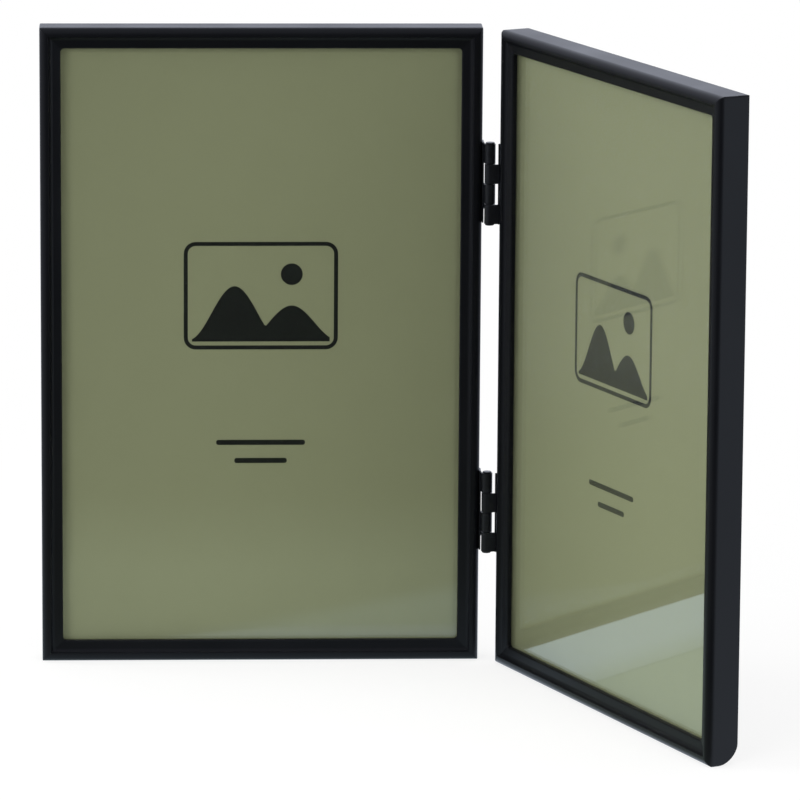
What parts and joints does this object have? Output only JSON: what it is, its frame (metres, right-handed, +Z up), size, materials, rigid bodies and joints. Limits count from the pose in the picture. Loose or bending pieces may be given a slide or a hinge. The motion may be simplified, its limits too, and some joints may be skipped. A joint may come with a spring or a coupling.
{
  "type": "hinged double photo frame",
  "caption": "Hinged double photo frame with slim black mouldings, glazed fronts and lined backs held by swivel tabs, standing part folded.",
  "frame": {"origin": "centre of the bounding box at the height of the table that both leaves stand on", "axes": "+Z up; the left leaf runs along X and faces -Y, toward the viewer; the right leaf is folded 65.5 degrees toward the viewer about the vertical hinge pins"},
  "size_m": [0.1642, 0.1084, 0.1591],
  "materials": {
    "frame_black": "satin black coating, smooth",
    "clear_glass": "clear float glass",
    "picture_card": "matt olive khaki card",
    "filler_card": "plain grey board",
    "backing_board": "brown hardboard",
    "back_flock": "black flock",
    "tab_steel": "nickel plated, lightly brushed",
    "rivet_steel": "nickel plated",
    "hinge_black": "black coating, satin"
  },
  "bodies": {
    "left_leaf": {"left_frame": "frame_black", "left_glass": "clear_glass", "left_insert_card": "picture_card", "left_filler_card": "filler_card", "left_backing_board": "backing_board", "left_back_lining": "back_flock", "left_tab_rivets": "rivet_steel", "left_hinge_rivets": "hinge_black", "upper_hinge_left_plate": "hinge_black", "upper_hinge_pin": "hinge_black", "lower_hinge_left_plate": "hinge_black", "lower_hinge_pin": "hinge_black"},
    "right_leaf": {"right_frame": "frame_black", "right_glass": "clear_glass", "right_insert_card": "picture_card", "right_filler_card": "filler_card", "right_backing_board": "backing_board", "right_back_lining": "back_flock", "right_tab_rivets": "rivet_steel", "right_hinge_rivets": "hinge_black", "upper_hinge_right_plate": "hinge_black", "lower_hinge_right_plate": "hinge_black"},
    "left_tab_upper_outer": {"left_tab_upper_outer": "tab_steel"},
    "left_tab_upper_inner": {"left_tab_upper_inner": "tab_steel"},
    "left_tab_lower_outer": {"left_tab_lower_outer": "tab_steel"},
    "left_tab_lower_inner": {"left_tab_lower_inner": "tab_steel"},
    "right_tab_upper_outer": {"right_tab_upper_outer": "tab_steel"},
    "right_tab_upper_inner": {"right_tab_upper_inner": "tab_steel"},
    "right_tab_lower_outer": {"right_tab_lower_outer": "tab_steel"},
    "right_tab_lower_inner": {"right_tab_lower_inner": "tab_steel"}
  },
  "joints": [
    {"name": "leaf_fold", "type": "hinge", "parent": "left_leaf", "child": "right_leaf", "pos_m": [0.02802, 0.04492, 0.07955], "axis": [0, 0, -1], "range_deg": [-84, 115]},
    {"name": "left_tab_upper_outer_turn", "type": "hinge", "parent": "left_leaf", "child": "left_tab_upper_outer", "pos_m": [-0.07313, 0.05275, 0.12955], "axis": [0, 1, 0], "range_deg": [-90, 90]},
    {"name": "left_tab_upper_inner_turn", "type": "hinge", "parent": "left_leaf", "child": "left_tab_upper_inner", "pos_m": [0.01727, 0.05275, 0.12955], "axis": [0, 1, 0], "range_deg": [-90, 90]},
    {"name": "left_tab_lower_outer_turn", "type": "hinge", "parent": "left_leaf", "child": "left_tab_lower_outer", "pos_m": [-0.07313, 0.05275, 0.02955], "axis": [0, 1, 0], "range_deg": [-90, 90]},
    {"name": "left_tab_lower_inner_turn", "type": "hinge", "parent": "left_leaf", "child": "left_tab_lower_inner", "pos_m": [0.01727, 0.05275, 0.02955], "axis": [0, 1, 0], "range_deg": [-90, 90]},
    {"name": "right_tab_upper_outer_turn", "type": "hinge", "parent": "right_leaf", "child": "right_tab_upper_outer", "pos_m": [0.0771, -0.04388, 0.12955], "axis": [0.91, 0.4147, 0], "range_deg": [-90, 90]},
    {"name": "right_tab_upper_inner_turn", "type": "hinge", "parent": "right_leaf", "child": "right_tab_upper_inner", "pos_m": [0.03961, 0.03838, 0.12955], "axis": [0.91, 0.4147, 0], "range_deg": [-90, 90]},
    {"name": "right_tab_lower_outer_turn", "type": "hinge", "parent": "right_leaf", "child": "right_tab_lower_outer", "pos_m": [0.0771, -0.04388, 0.02955], "axis": [0.91, 0.4147, 0], "range_deg": [-90, 90]},
    {"name": "right_tab_lower_inner_turn", "type": "hinge", "parent": "right_leaf", "child": "right_tab_lower_inner", "pos_m": [0.03961, 0.03838, 0.02955], "axis": [0.91, 0.4147, 0], "range_deg": [-90, 90]}
  ]
}
